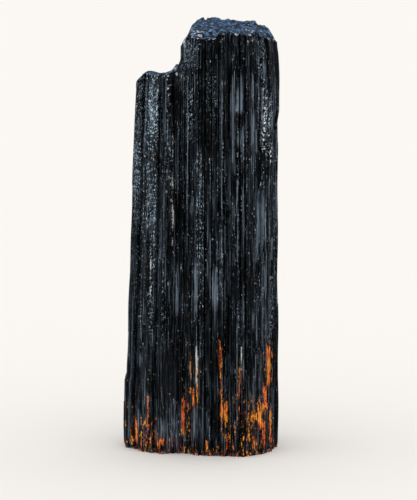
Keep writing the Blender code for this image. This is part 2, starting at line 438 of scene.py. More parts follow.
# %% Work out the rows of the sides
FRONT_SPLITS = [
    (2.6, 1.3, 28, 37.5, 1.3), (23.8, 2.3, 199, 206.5, 0.8), (17, 1.2, 116, 124, 0.9),
    (35, 2, 118, 127, 0.7), (30, 1.2, 20, 27, 0.9), (-31, 1.2, 66, 78, 0.8), (8, 1.4, 104, 116, 0.6),
    (-3, 1, 60, 84, 0.5), (27, 1.4, 4, 14, 1),
]
SPLIT_COUNT = 60


def scattered(draw, count, rounds, halves, lows, lengths, strengths):
    """A table of strips at random places, each of its numbers drawn between two bounds."""
    low = draw.uniform(*lows, count)
    return np.stack([
        draw.uniform(*rounds, count), draw.uniform(*halves, count), low,
        low + draw.uniform(*lengths, count), draw.uniform(*strengths, count),
    ], axis=1)


far_splits = scattered(fine, SPLIT_COUNT, (75, 200), (0.6, 1.8), (2, 205), (4, 24), (0.4, 1.3))
SPLIT_OFF = [(round_at(x), *rest) for x, *rest in FRONT_SPLITS] + far_splits.tolist()

z_side = rows_at(side_rows)
chip_share = (1 - z_side / feet[lath_of]).clip(0, 1)
chip_depth = chips[lath_of] * calm * chip_share
coarse = lath_depth(z_side) * calm
detail = rib_depth(z_side) * fine_calm
crumbled = grit(outer[:, 0] + 0.3 * z_side, outer[:, 1] + z_side) * chip_share * calm
side_depth = (coarse + detail + chip_depth + crumbled + split_off(z_side) * calm).clip(-1.2, 4.6)
side = flank(outer, outward, side_depth, z_side)
base_ring = flank(outer, outward, RIM_REACH + 1.5 + 0 * distance, np.zeros((1, 1)))
print(f"the side lies {side_depth.min():.1f} to {side_depth.max():.1f} mm inside the outline")

# %% [markdown]
# ## The shoulder and the clear side
#
# At the height of the shoulder the rows turn in on the left, over a rough shelf, and then climb the
# clear side of the long prism. Elsewhere they run straight up to the rim of the top.

# %% Work out the rows of the shoulder
side_top = np.array([[SHOULDER]])
lath_top = lath_depth(side_top) * calm
rib_top = rib_depth(side_top) * fine_calm
crest = flank(outer, outward, lath_top + rib_top + 0.5 * on_twin, side_top)[0]
on_crest = shelf_height(crest[:, 0]) + 0.4 * hackle(*plan(crest))
on_crest = on_crest + 0.5 * rims[lath_of] + 0.6 * grit(*plan(crest))
crest[:, 2] = np.where(on_twin, on_crest, SHOULDER)
rows_below = np.arange(len(side), 0, -1)[:, None]
side[..., 2] = np.minimum(side[..., 2], crest[:, 2] - 0.3 * rows_below.clip(0, 8))

kept_depth = np.where(on_twin, 0.6, 1) * lath_top
wall_z = side_top + WALL_FOOT
wall_foot = flank(inner, inward, kept_depth + rib_depth(wall_z) * fine_calm, wall_z)[0]
plain_crest = flank(outer, outward, 1.5 * calm, side_top)[0]
room = smooth(0, 5, np.linalg.norm((wall_foot - crest)[:, :2], axis=1))
shelf = []
for share_in in shelf_shares:
    row = crest + (wall_foot - crest) * share_in
    begin = plain_crest + (crest - plain_crest) * smooth(0.3, 0, share_in)
    from_crest = begin + (wall_foot - begin) * share_in
    row[:, :2] = np.where(on_twin[:, None], from_crest[:, :2], row[:, :2])
    on_shelf = shelf_height(row[:, 0]) + 0.4 * hackle(*plan(row)) + 0.8 * grit(*plan(row)) * room
    row[:, 2] = np.where(on_twin & (share_in < 1), on_shelf, row[:, 2])
    shelf.append(row)
shelf = np.array(shelf)

clip_reach = (kept_depth + chips[lath_of] * calm).clip(-1, RIM_REACH)
rim_level = wall_z + 12
swell = CLEAR_SIDE_SWELL * on_twin
rim = flank(inner, inward, clip_reach - swell + rib_depth(rim_level) * fine_calm, rim_level)[0]
rim_height = top_height(*plan(rim)) + 0.5 * hackle(*plan(rim)) + rims[lath_of]
rim[:, 2] = rim_height + 0.8 * grit(*plan(rim))
z_crown = wall_foot[:, 2] + (rim[:, 2] - wall_foot[:, 2]) * crown_shares
crown_depth = kept_depth + rib_depth(z_crown) * fine_calm
crown_depth = crown_depth + (clip_reach - kept_depth) * smooth(0.45, 1, crown_shares)
crown_depth = crown_depth - swell * smooth(0, 0.2, crown_shares)
crown = flank(inner, inward, crown_depth, np.maximum(z_crown, SHOULDER + WALL_FOOT))
crown[..., 2] = z_crown

walls = np.concatenate([base_ring, side, crest[None], shelf, crown, rim[None]])
print(f"{len(walls)} rows of {columns} columns from the base to the rim of the top")

# %% [markdown]
# ## The broken top
#
# Over the top the columns run together, so every second one is left out there, and the rows lie
# closer. Each row is the rim drawn in toward the middle by a share. The chips of the rim fade out
# on the way, and the hackly heights take over.

# %% Work out the rows of the top
middle = np.array(TOP_MIDDLE)
plain_rim = flank(inner, inward, 1.8 + 0 * distance, rim_level)[0]
cap = (plain_rim + (rim - plain_rim) * smooth(0.65, 1, cap_shares))[:, ::2]
cap[..., :2] = middle + (cap[..., :2] - middle) * cap_shares
cap[..., 2] = top_height(*plan(cap)) + hackle(*plan(cap)) + grit(*plan(cap))
base_centre = np.array([*BASE_MIDDLE, 0])
top_centre = np.array([*middle, top_height(*middle) + hackle(*middle) + grit(*middle)])
print(f"{len(cap)} rows of {cap.shape[1]} columns over the top")

# %% [markdown]
# ## What lies where on the skin
#
# Some looks belong to places: frosted patches with a painted silvery sheen, pale streaks, ridges
# with painted glints, and the orange stain that climbs the grooves. Each is a number at every point
# of the skin, stored as an attribute that the material reads. Marks that stand out have their own
# place on the front. Each one is written as its middle and half width from side to side, its lower
# and upper end, and its strength. Plain marks are faces that stay black, and crumb marks are bright
# and crumbly.

# %% Marks on the front
# Frosted patches: their dullness is real, their silvery colour is a painted sheen, a reflection painted
# into the colour.
FROST_SHEEN_MARKS = [
    (22.9, 2.4, 206.5, 213.5, 1.5), (23.1, 2, 209, 222, 1.3), (24, 1, 218, 229, 1),
    (22.6, 1.3, 186, 196, 1.05), (18.9, 1.1, 166, 224, 0.8), (30.9, 1.6, 182, 208, 0.68),
    (30.4, 0.9, 204, 230, 0.55), (35.5, 3.2, 126, 160, 0.95), (33.4, 1.4, 116, 132, 0.7),
    (8.5, 1.7, 90, 114, 1.05), (-2.9, 1, 84, 118, 0.95), (-13.6, 0.8, 84, 114, 0.75),
    (-35.5, 1.1, 66, 80, 0.8), (-28.9, 0.9, 64, 75, 0.75), (-36.6, 0.9, 52, 62, 0.75),
    (31.5, 0.8, 75, 90, 0.75), (-5.2, 0.8, 145, 157, 0.7), (16.9, 1.2, 138, 146, 0.7),
    (-29.3, 0.8, 134, 147, 0.7), (-6.5, 0.6, 45, 58, 0.6), (-35.4, 1, 169, 182, 0.5),
    (37.3, 1, 226, 237, 0.65), (-23, 5, 6, 22, 0.74), (-4.1, 2.6, 10, 30, 0.74), (12.7, 1.5, 25, 38, 0.55),
    (-37.8, 1.8, 14, 25, 0.6), (-8, 3.6, 232, 250, 0.5), (-30, 3, 200, 226, 0.36), (-14, 6, 0, 32, 0.54),
    (2, 7, 4, 28, 0.42), (15, 6, 4, 64, 0.44), (17, 1.4, 96, 192, 0.52), (-1, 2, 148, 190, 0.36),
    (35, 6, 10, 52, 0.34), (-25, 3, 216, 228, 0.5), (-37, 2.6, 186, 204, 0.45), (36, 3, 72, 96, 0.4),
    (11, 2, 96, 116, 0.4),
]
PALE_MARKS = [
    (-2.6, 0.35, 42, 67, 1.35), (24.2, 0.4, 56, 69, 0.9), (-16.8, 0.6, 138, 152, 0.95),
    (-17, 0.5, 122, 196, 0.55), (-29.9, 0.6, 99, 122, 0.7), (-32, 0.4, 20, 38, 0.5),
]
STAIN_MARKS = [
    (29, 12, 0, 38, 0.18), (-32, 9, 0, 22, 0.18), (-7, 3.5, 12, 42, 0.18), (14, 4, 14, 36, 0.18),
    (40.5, 4, 38, 66, 0.16), (-14, 14, 0, 9, 0.14), (-10.6, 0.8, 12, 34, 1.15),
    (-7.6, 2.2, 28.5, 32.5, 0.95), (-4.6, 0.8, 31, 41, 1), (-2.2, 0.4, 30, 56, 0.66),
    (-6.3, 0.4, 38, 60, 0.6), (3.3, 1, 2, 9, 0.6), (12.2, 0.5, 36, 66, 0.84), (11.3, 0.3, 52, 73, 0.62),
    (15, 1.1, 19, 34, 1.05), (12.6, 0.6, 22, 42, 0.8), (17.3, 0.7, 8, 18, 0.8), (15.6, 0.6, 4, 12, 0.78),
    (19.5, 0.6, 3, 10, 0.74), (10.6, 0.7, 3, 8, 0.74), (23.2, 0.5, 34, 56, 0.8), (28.6, 1, 8, 28, 0.9),
    (31.5, 3.2, 21.5, 27, 0.9), (35.4, 1.5, 16, 31, 1.1), (38.7, 1.6, 27, 42, 1.1),
    (40.9, 1.3, 42, 66, 1.1), (37.2, 0.4, 50, 64, 0.66), (38.2, 0.8, 3, 20, 0.84), (42.2, 0.9, 6, 27, 0.8),
    (32, 2.4, 3, 12, 0.6), (-39.4, 0.8, 2, 19, 0.95), (-33, 0.5, 2, 22, 0.9), (-31.8, 0.4, 12, 36, 0.66),
    (-36, 0.5, 0, 14, 0.7), (-42, 0.8, 4, 30, 0.66), (-24, 3.4, 5, 9.5, 0.74),
]
# Where splinters get painted glints, bright specks painted into the colour.
SPARKLE_MARKS = [
    (-28.2, 4.6, 190, 227, 1.04), (-33, 14, 134, 226, 0.55), (-38.5, 3, 150, 190, 0.95),
    (-27, 3, 110, 160, 0.75), (-30, 1, 66, 130, 0.6), (-8, 7, 228, 252, 0.58), (-6.5, 3, 190, 226, 0.45),
    (-1, 2, 100, 186, 0.62), (11, 1.6, 96, 150, 0.5), (13, 0.9, 96, 256, 0.26), (39, 5, 190, 226, 0.7),
    (35.5, 2, 200, 250, 0.7), (23.5, 0.8, 60, 110, 0.4), (42, 1.6, 60, 110, 0.5), (-20, 1, 180, 225, 0.6),
]
CRUMB_MARKS = [
    (38.4, 3.4, 184, 214, 1.1), (41.5, 1.8, 176, 190, 0.8), (-19, 1, 150, 226, 0.35),
    (30, 3.5, 246, 256, 0.45), (-3, 4, 245, 250, 0.6), (-14, 2, 224, 231, 0.2),
]
PLAIN_MARKS = [
    (5, 9, 176, 252, 1), (-16, 3, 196, 226, 0.9), (16, 2, 60, 250, 0.8), (28, 2.5, 196, 250, 0.7),
    (-12, 12, 26, 90, 0.8), (12, 9, 12, 80, 0.9), (27.5, 3, 10, 26, 0.6), (42, 3, 216, 256, 0.9),
    (26, 4, 96, 134, 0.9), (-34, 6, 92, 130, 0.6), (23, 3, 199, 205, 1), (-12, 4, 100, 190, 0.6),
    (-24, 2, 130, 226, 0.6),
]
print(f"{len(FROST_SHEEN_MARKS)} silvery marks and {len(STAIN_MARKS)} marks of stain on the front")

# %% [markdown]
# ## Painting the masks
#
# A mark becomes a strip with soft edges. The sides and the back get strips at random places, so
# they are as finished as the front. Ridges, hollows, painted highlights on rib edges and painted
# shade in the grooves follow from how deep the skin lies, and the painted light and shade of a
# break from its crests and crevices.


# %% Paint the masks
at = np.concatenate([base_centre[None], walls.reshape(-1, 3), cap.reshape(-1, 3), top_centre[None]])
at[:, :2] -= BOX_MIDDLE
x_all, y_all, z_all = at.T
grid = (len(walls), columns)
on_wall = slice(1, 1 + len(walls) * columns)


def spread_out(on_walls):
    """One number a point, from rows by columns for the walls, and 0 over the top."""
    flat = np.zeros(len(at))
    flat[on_wall] = np.broadcast_to(on_walls, grid).ravel()
    return flat


front = smooth(2, -8, y_all)
behind = smooth(-12, -2, y_all)


def strips(table, across, side_soft, end_soft):
    """The strongest mark at each point. A mark is a strip whose strength falls off smoothly over
    side_soft beside it and over end_soft beyond its two ends."""
    found = 0 * z_all
    for middle_at, half, low, high, strength in table:
        beside = smooth(half + side_soft, 0.35 * half, np.abs(across - middle_at))
        ends = np.minimum(end_soft, 0.4 * (high - low))
        within = smooth(low - ends, low + ends, z_all) * smooth(high + ends, high - ends, z_all)
        found = np.maximum(found, strength * beside * within)
    return found


scatter = np.random.default_rng(SEED + 2)
way_round = spread_out(distance)


def strips_round(side_soft, end_soft, count, *bounds):
    """This many strips at random places round the crystal."""
    return strips(scattered(scatter, count, (0, around), *bounds), way_round, side_soft, end_soft)


# Frosted patches with a painted silvery sheen, at random round the sides and the back.
frost_sheen_round = strips_round(1.1, 6, 64, (0.6, 2.6), (0, 205), (10, 48), (0.4, 1.15))
streaks_round = strips_round(0.5, 4, 46, (0.25, 0.9), (0, 26), (8, 44), (0.6, 1.05))
washes_round = strips_round(2, 6, 9, (3, 9), (0, 6), (12, 34), (0.12, 0.2))
sparkle_round = strips_round(1, 10, 56, (0.7, 3.5), (20, 200), (30, 110), (0.4, 1.3))

side_at = slice(1, 1 + len(side))
shelf_at = slice(side_at.stop + 1, side_at.stop + 1 + len(shelf))
crown_at = slice(shelf_at.stop, shelf_at.stop + len(crown))
faces = np.ones(grid)
faces[0] = 0
faces[shelf_at] = ~on_twin
on_sides = spread_out(faces)

# Where the frosted patches with their painted sheen lie.
frost_and_sheen = np.maximum(strips(FROST_SHEEN_MARKS, x_all, 1.2, 8) * front, frost_sheen_round * behind) * on_sides
pale = strips(PALE_MARKS, x_all, 0.4, 6) * front
stain = np.max([
    strips(STAIN_MARKS, x_all, 0.5, 3) * front, streaks_round * behind, washes_round * behind,
    0.3 * smooth(6, 0.5, z_all),
], axis=0) * on_sides


def sunk_by(depths):
    """How much deeper each column lies than the mean of those two places to its left and right."""
    return depths - 0.5 * (np.roll(depths, 2, axis=1) + np.roll(depths, -2, axis=1))


ridges, hollows, lit_edges, painted_groove_shade, lit_rims = np.zeros((5, *grid))
ridges[side_at] = smooth(0.15, 0.7, -sunk_by(side_depth))
hollows[side_at] = smooth(0.7, 2.8, side_depth)
# Painted highlights on the near edge of some ribs.
edge_glow = scatter.random((ribs, CELLS)) ** 4
for rows, heights, depths in ((side_at, z_side, side_depth), (crown_at, z_crown, crown_depth)):
    lit_edges[rows] = edge_glow[rib, rib_cell(heights)] * (column_kind == 1)
    # Painted shade: darker where a column lies deeper than its neighbours, in the grooves.
    painted_groove_shade[rows] = smooth(0.1, 0.55, sunk_by(depths))
# A painted highlight along the rim of the top and the crest of the shoulder.
lit_rims[-1] = 0.75
lit_rims[side_at.stop] = 0.6 * on_twin
ridge, hollow, edge, groove, lit_rim = map(spread_out, (ridges, hollows, lit_edges, painted_groove_shade, lit_rims))
cracks = smooth(1, 4, x_all) * smooth(14.5, 12.5, x_all) * smooth(196, 206, z_all)
cracks = cracks * smooth(238, 226, z_all) * front
# Painted glints: the marks, random strips behind, a little everywhere, and more along the ridges.
sparkle = np.max([
    strips(SPARKLE_MARKS, x_all, 1, 9) * front, 0.6 * sparkle_round * behind,
    0.06 + 0 * z_all, 0.45 * ridge * smooth(20, 110, z_all),
], axis=0)
plain = strips(PLAIN_MARKS, x_all, 2, 12) * front
# Crumbs, and the painted rim highlight.
crumbs_and_rim_highlight = np.max([
    strips(CRUMB_MARKS, x_all, 1, 5) * front, lit_rim,
    0.7 * smooth(12, 0, x_all) * smooth(-12, -22, y_all) * (1 - on_sides),
], axis=0)
broken = np.maximum(1 - on_sides, 0.5 * smooth(2.5, 0, z_all))


def break_relief(x, y, reach=1.6):
    """Height of the break less the mean of four points round it: above 0 on crests, below 0 in crevices."""
    four = [(x + reach, y), (x - reach, y), (x, y + reach), (x, y - reach)]
    return hackle(x, y) + grit(x, y) - sum(hackle(*place) + grit(*place) for place in four) / 4


# The relief of the break, which sets its painted light and shade.
relief = break_relief(x_all + BOX_MIDDLE[0], y_all + BOX_MIDDLE[1])
print(f"crests and crevices of the break: {relief.min():.2f} to {relief.max():.2f} mm")
print("share of the skin that is silvery:", round(float((frost_and_sheen > 0.3).mean()), 3))
print("share of the skin that is stained:", round(float((stain > 0.3).mean()), 3))

# %% [markdown]
# ## The skin as a mesh
#
# The rows become one closed mesh. Each cell between two rows and two columns is a four-sided
# face, and the first and last row are closed by fans of triangles to the two middles. Edges
# sharper than a set angle are marked sharp, so that facets stay crisp.


# %% Put the skin into a mesh
def ring_cells(lower, upper):
    """Faces between rings of equal count, in rows: each takes two points of a ring and two of the next."""
    beside = np.roll(lower, -1, axis=-1), np.roll(upper, -1, axis=-1)
    return np.stack([lower, beside[0], beside[1], upper], axis=-1).reshape(-1, 4)


def halving_cells(lower, upper):
    """Triangles from a ring to one of half its count: three for every second point of the fuller ring."""
    first, odd, second = lower[::2], lower[1::2], np.roll(lower[::2], -1)
    beside = np.roll(upper, -1)
    three = [[first, odd, upper], [odd, second, beside], [odd, beside, upper]]
    return np.concatenate([np.stack(corners_of, axis=-1) for corners_of in three])


def mesh_from(name, points, groups):
    """A mesh from points in millimetres and groups of faces, each an array of rows of point numbers."""
    mesh = bpy.data.meshes.new(name)
    mesh.from_pydata((points * MM).tolist(), [], [face for group in groups for face in group.tolist()])
    return mesh


def placed(name, data):
    """A new object of the scene with this data."""
    thing = bpy.data.objects.new(name, data)
    bpy.context.scene.collection.objects.link(thing)
    return thing


def fan(ring, tip, upward):
    """Triangles from a ring to the single point that closes it."""
    beside = np.roll(ring, -1)
    tips = np.full(len(ring), tip)
    return np.stack([ring, beside, tips] if upward else [beside, ring, tips], axis=-1)


SHARP_ANGLE = 24
wall_index, cap_index = np.split(np.arange(len(at))[1:-1], [len(walls) * columns])
wall_index, cap_index = wall_index.reshape(grid), cap_index.reshape(cap.shape[:2])
skin_mesh = mesh_from("crystal_skin", at, [
    ring_cells(wall_index[:-1], wall_index[1:]), ring_cells(cap_index[:-1], cap_index[1:]),
    halving_cells(wall_index[-1], cap_index[0]), fan(wall_index[0], 0, False),
    fan(cap_index[-1], len(at) - 1, True),
])
masks = dict(
    frost_and_sheen=frost_and_sheen, pale=pale, stain=stain, sparkle=sparkle, hollow=hollow, crumbs_and_rim_highlight=crumbs_and_rim_highlight,
    cracks=cracks, plain=plain, edge=edge, groove=groove, relief=relief, broken=broken,
)
for mask, values in masks.items():
    layer = skin_mesh.attributes.new(mask, "FLOAT", "POINT")
    layer.data.foreach_set("value", values.astype(np.float32))
skin_mesh.shade_smooth()
skin_mesh.set_sharp_from_angle(angle=np.radians(SHARP_ANGLE))
crystal_skin = placed("crystal_skin", skin_mesh)
skin_mesh.calc_loop_triangles()
print(f"{len(skin_mesh.loop_triangles)} triangles, {len(skin_mesh.vertices)} points")

# %% [markdown]
# ## The pieces of a material
#
# The finish is painted by nodes that read the point's own place on the crystal, so it stays put
# from any side. Two effects come back again and again, and each is a node group with named
# inputs. Grain is soft noise drawn out along the crystal's length. Splinters are small cells with
# crisp edges, also drawn out, and each cell has its own lot: three random numbers, kept as a colour.


# %% Helpers for nodes
def made(tree, kind, *values, **settings):
    """A node of this kind with these settings. Its inputs take the values in order: an output is
    linked, a number or a colour is set, and None leaves the input as it is."""
    node = tree.nodes.new(kind)
    for setting, value in settings.items():
        setattr(node, setting, value)
    for value, socket in zip(values, node.inputs):
        if isinstance(value, bpy.types.NodeSocket):
            tree.links.new(value, socket)
        elif value is not None:
            socket.default_value = value
    return node


def over(tree, below, above, share):
    """The upper colour laid over the lower one by a share. A Mix node's five inputs between the
    share and the colours are for other kinds of value."""
    unused = [None] * 5
    return made(tree, "ShaderNodeMix", share, *unused, below, above, data_type="RGBA").outputs[2]


def drawn_out_group(name, texture, dimensions, details, gives):
    """A group over the crystal's own coordinates. Grains is how many grains a millimetre holds,
    Length how many times longer than wide they are along z, and Shift picks another pattern."""
    group = bpy.data.node_groups.new(name, "ShaderNodeTree")
    for label, usual in (("Grains", 1), ("Length", 10), ("Shift", 0)):
        socket = group.interface.new_socket(label, in_out="INPUT", socket_type="NodeSocketFloat")
        socket.default_value = usual
    for label, kind, _ in gives:
        group.interface.new_socket(label, in_out="OUTPUT", socket_type=kind)
    grains_in, length_in, shift_in = made(group, "NodeGroupInput").outputs[:3]
    end = made(group, "NodeGroupOutput")
    place = made(group, "ShaderNodeTexCoord").outputs["Object"]
    across = made(group, "ShaderNodeMath", grains_in, 1 / MM, operation="MULTIPLY").outputs[0]
    along = made(group, "ShaderNodeMath", across, length_in, operation="DIVIDE").outputs[0]
    scale = made(group, "ShaderNodeCombineXYZ", across, across, along).outputs[0]
    scaled = made(group, "ShaderNodeVectorMath", place, scale, operation="MULTIPLY").outputs[0]
    pattern = made(group, texture, scaled, shift_in, 1, *details, **{dimensions: "4D"})
    for label, _, output in gives:
        group.links.new(pattern.outputs[output], end.inputs[label])
    return group


NOISE_DETAILS = (3, 0.62)
grain = drawn_out_group(
    "grain", "ShaderNodeTexNoise", "noise_dimensions", NOISE_DETAILS, [("Value", "NodeSocketFloat", "Fac")]
)
splinters = drawn_out_group(
    "splinters", "ShaderNodeTexVoronoi", "voronoi_dimensions", (),
    [("Edge", "NodeSocketFloat", "Distance"), ("Lot", "NodeSocketColor", "Color")],
)
print("node groups:", [group.name for group in bpy.data.node_groups])

# %% [markdown]
# ## The stone
#
# The stone is nearly black and glassy. What makes it look like tourmaline is how unevenly it
# glints: fine upright lines, and thousands of little splinters that each face their own way. So
# every splinter gets its own tilt and its own painted brightness, a glint painted into the colour.

# %% The tourmaline material: patterns
STONE_IOR = 1.62
stone = bpy.data.materials.new("black_tourmaline")
stone.use_nodes = True
tree = stone.node_tree
shader = tree.nodes["Principled BSDF"]
shader.inputs["IOR"].default_value = STONE_IOR


def stored(name):
    """The number that the skin keeps under this name."""
    return made(tree, "ShaderNodeAttribute", attribute_name=name).outputs["Fac"]


def cells_of(*numbers):
    """Splinters in the stone's tree: how many a millimetre holds, their length, and which pattern."""
    return made(tree, "ShaderNodeGroup", *numbers, node_tree=splinters)


def grains(*numbers):
    """The grain's value in the stone's tree, from the same three numbers."""
    return made(tree, "ShaderNodeGroup", *numbers, node_tree=grain).outputs[0]


def lots(node):
    """The three random numbers of the cell the point is in."""
    return made(tree, "ShaderNodeSeparateColor", node.outputs["Lot"]).outputs


def math(operation, *values, **settings):
    """One Math node over these values."""
    return made(tree, "ShaderNodeMath", *values, operation=operation, **settings).outputs[0]


def vector(operation, *values):
    """One Vector Math node over these values."""
    return made(tree, "ShaderNodeVectorMath", *values, operation=operation).outputs[0]


def ramp(value, *bounds):
    """A smooth ramp: 0 at the first bound, 1 at the second, or between two further numbers if given."""
    bounds = (*bounds, 0, 1)[:4]
    return made(tree, "ShaderNodeMapRange", value, *bounds, interpolation_type="SMOOTHSTEP").outputs[0]


def add(first, *others):
    """The sum of the values."""
    for other in others:
        first = math("ADD", first, other)
    return first


def times(first, *others):
    """The product of the values."""
    for other in others:
        first = math("MULTIPLY", first, other)
    return first


def rest_of(share):
    """What a share leaves of 1."""
    return math("SUBTRACT", 1, share)


def swing(value, size):
    """Noise between 0 and 1 moved to swing about zero by this size: (value - 0.5) times the size."""
    return times(math("SUBTRACT", value, 0.5), size)


broad = grains(0.22, 14, 1)
rib_lines = grains(1.1, 22, 2)
fine_lines = grains(2.4, 24, 3)
ragged = grains(0.9, 4.5, 4)
crumbs = grains(1.3, 1.2, 5)
clouds = grains(0.09, 1.6, 6)
lumps = grains(0.3, 1, 12)
nibbled = grains(1.9, 3, 13)
flakes = cells_of(1.85, 1.5, 7)
pebbles = cells_of(0.75, 1, 8)
slivers = cells_of(1.1, 18, 9)
hairs = cells_of(1, 60, 10)
facets = cells_of(0.42, 1, 14)

is_broken, is_frost_and_sheen, is_pale, is_stained, is_sparkling, is_hollow = map(
    stored, ("broken", "frost_and_sheen", "pale", "stain", "sparkle", "hollow")
)
is_crumbs_and_rim_highlight, is_cracked, is_plain, is_rib_highlight, in_painted_groove_shade, raised = map(
    stored, ("crumbs_and_rim_highlight", "cracks", "plain", "edge", "groove", "relief")
)
lively = rest_of(times(is_plain, 0.8))
unbroken = rest_of(is_broken)
print(f"{len(tree.nodes)} nodes so far")

# %% [markdown]
# ## How much of each layer shows
#
# Every layer of colour has its share, from 0 to 1, at each point. A share is a pattern pushed
# through a ramp and multiplied by a stored mask. Noise added before the ramp makes its edge ragged.
# On the break a painted light and shade follows the relief: crests are light, crevices nearly black.

# %% The tourmaline material: shares of the layers
lines = times(ramp(add(rib_lines, swing(broad, 1), swing(fine_lines, 1)), 0.51, 0.64), lively)
# Painted highlights: bright hairlines and grey slivers along the ribs, reflections painted into the colour.
hairline_highlight_share = times(ramp(hairs.outputs["Edge"], 0.26, 0.12), math("POWER", lots(hairs)[0], 2), lively)
sliver_tone = math("POWER", lots(slivers)[0], 5)
sliver_glint_share = times(sliver_tone, ramp(fine_lines, 0.38, 0.58), ramp(rib_lines, 0.42, 0.58), lively)
# Painted highlights along the lit edges of the ribs.
rib_highlight_share = times(is_rib_highlight, ramp(rib_lines, 0.42, 0.54), lively)

# The painted light and shade of a break: crests lighter, crevices nearly black.
facet_tone = add(times(raised, 2.2), swing(lots(facets)[0], 0.5), swing(lumps, 2.2), swing(crumbs, 1))
facet_crest = add(raised, swing(lots(facets)[1], 0.6), swing(crumbs, 1.2))
facet_glint = times(ramp(facet_crest, 0.5, 0.7), is_broken)

# Painted glints on the flakes: bright specks painted into the colour.
flake_lot, flake_power = lots(flakes)[:2]
flake_amount = add(times(is_sparkling, 0.75), times(is_broken, 0.3), swing(rib_lines, 0.9))
flake_level = rest_of(add(flake_amount, swing(clouds, 0.8)))
flake_mask = ramp(flake_lot, flake_level, add(flake_level, 0.1))
flake_bright = add(times(math("POWER", flake_power, 2.6), add(times(is_sparkling, 1.25), 0.16)), 0.02)
flake_glint_share = times(flake_mask, flake_bright, ramp(flakes.outputs["Edge"], 0.95, 0.5), lively)

# Painted glints on the pebbles, and the crumbs below.
pebble_lot, pebble_power, crumb_lot = lots(pebbles)[:3]
pebble_level = rest_of(add(times(is_broken, 0.3), times(is_sparkling, 0.12)))
pebble_mask = ramp(pebble_lot, pebble_level, add(pebble_level, 0.15))
pebble_bright = add(math("POWER", pebble_power, 2.5), 0.08)
pebble_glint_share = times(pebble_mask, pebble_bright, ramp(crumbs, 0.42, 0.56))
# White crumbs, and a painted highlight along the rims.
crumb_level = rest_of(times(is_crumbs_and_rim_highlight, add(ragged, -0.2), 0.9))
crumb_and_rim_highlight_share = times(ramp(crumb_lot, crumb_level, add(crumb_level, 0.04)), ramp(crumbs, 0.46, 0.51))

# Cracks drawn as thin lines of painted glint.
crack = ramp(math("PINGPONG", grains(0.15, 0.3, 11), 0.07), 0.016, 0.006)
crack_glint_share = times(crack, is_cracked, ramp(crumbs, 0.44, 0.54), ramp(ragged, 0.42, 0.52), 0.32)
# Painted shade: fewer painted glints and crumbs deep in the hollows.
outside_hollow_shade = rest_of(times(is_hollow, 0.75))

# The painted silvery sheen of the frosted patches, broken up along the ribs.
sheen_noise = (swing(ragged, 1.3), swing(rib_lines, 1.3), swing(lots(slivers)[1], 0.3))
sheen_streaks = times(ramp(fine_lines, 0.38, 0.6, 0.35, 1), ramp(rib_lines, 0.36, 0.56, 0.4, 1))
sheen_streaks = math("MAXIMUM", sheen_streaks, times(add(is_frost_and_sheen, -0.5), 1.1))
frost_and_sheen_share = times(
    ramp(add(is_frost_and_sheen, *sheen_noise), 0.26, 0.98), sheen_streaks, ramp(is_frost_and_sheen, 0.05, 0.4)
)
pale_share = ramp(add(is_pale, swing(ragged, 3), swing(crumbs, 2.4)), 0.56, 0.8)
stain_reach = add(is_stained, swing(ragged, 3.2), swing(nibbled, 3.4), swing(lots(slivers)[2], 0.6))
brown_share = times(ramp(stain_reach, 0.36, 0.7), ramp(is_stained, 0, 0.1))
orange_share = times(ramp(stain_reach, 0.68, 0.86), ramp(is_stained, 0.02, 0.1))
print(f"{len(tree.nodes)} nodes after the shares")

# %% [markdown]
# ## Colour of the stone
#
# The layers lie over black, from the bottom up: slate lines and hairlines of painted highlight, the
# blue of the breaks, painted as reflected sky with painted shade in the crevices, painted glints on
# slivers, splinters and cracks, crumbs with a painted highlight along the rims, frosted patches with
# a painted silvery sheen, painted highlights on rib edges and painted shade in the grooves, pale
# streaks, and orange iron stain with brown edges.

# %% The tourmaline material: colour
BLACK = (0.0008, 0.0011, 0.0016, 1)
SLATE = (0.0105, 0.0165, 0.0245, 1)
BLUE_BLACK = (0.0008, 0.0016, 0.003, 1)
# The grey of the painted sheen on the frosted patches, a reflection painted into the colour.
SHEEN_GREY = (0.16, 0.212, 0.278, 1)
# The greys of painted highlights along the ribs: slivers, hairlines and lit rib edges.
SLIVER_GLINT_GREY = (0.072, 0.102, 0.136, 1)
HIGHLIGHT_GREY = (0.26, 0.34, 0.43, 1)
# The colours of painted glints: white, and blue on the breaks.
GLINT = (0.64, 0.84, 1, 1)
BLUE_GLINT = (0.25, 0.45, 0.76, 1)
# The white of crumbs and of the painted rim highlight.
CRUMB_AND_HIGHLIGHT_WHITE = (0.88, 0.92, 0.95, 1)
# The blue of a break's lit facets, a reflected sky painted into the colour.
BREAK_SKY_BLUE = (0.064, 0.15, 0.31, 1)
PALE = (0.66, 0.67, 0.64, 1)
BROWN = (0.085, 0.02, 0.005, 1)
ORANGE = (1, 0.13, 0.002, 1)
AMBER = (1, 0.36, 0.01, 1)

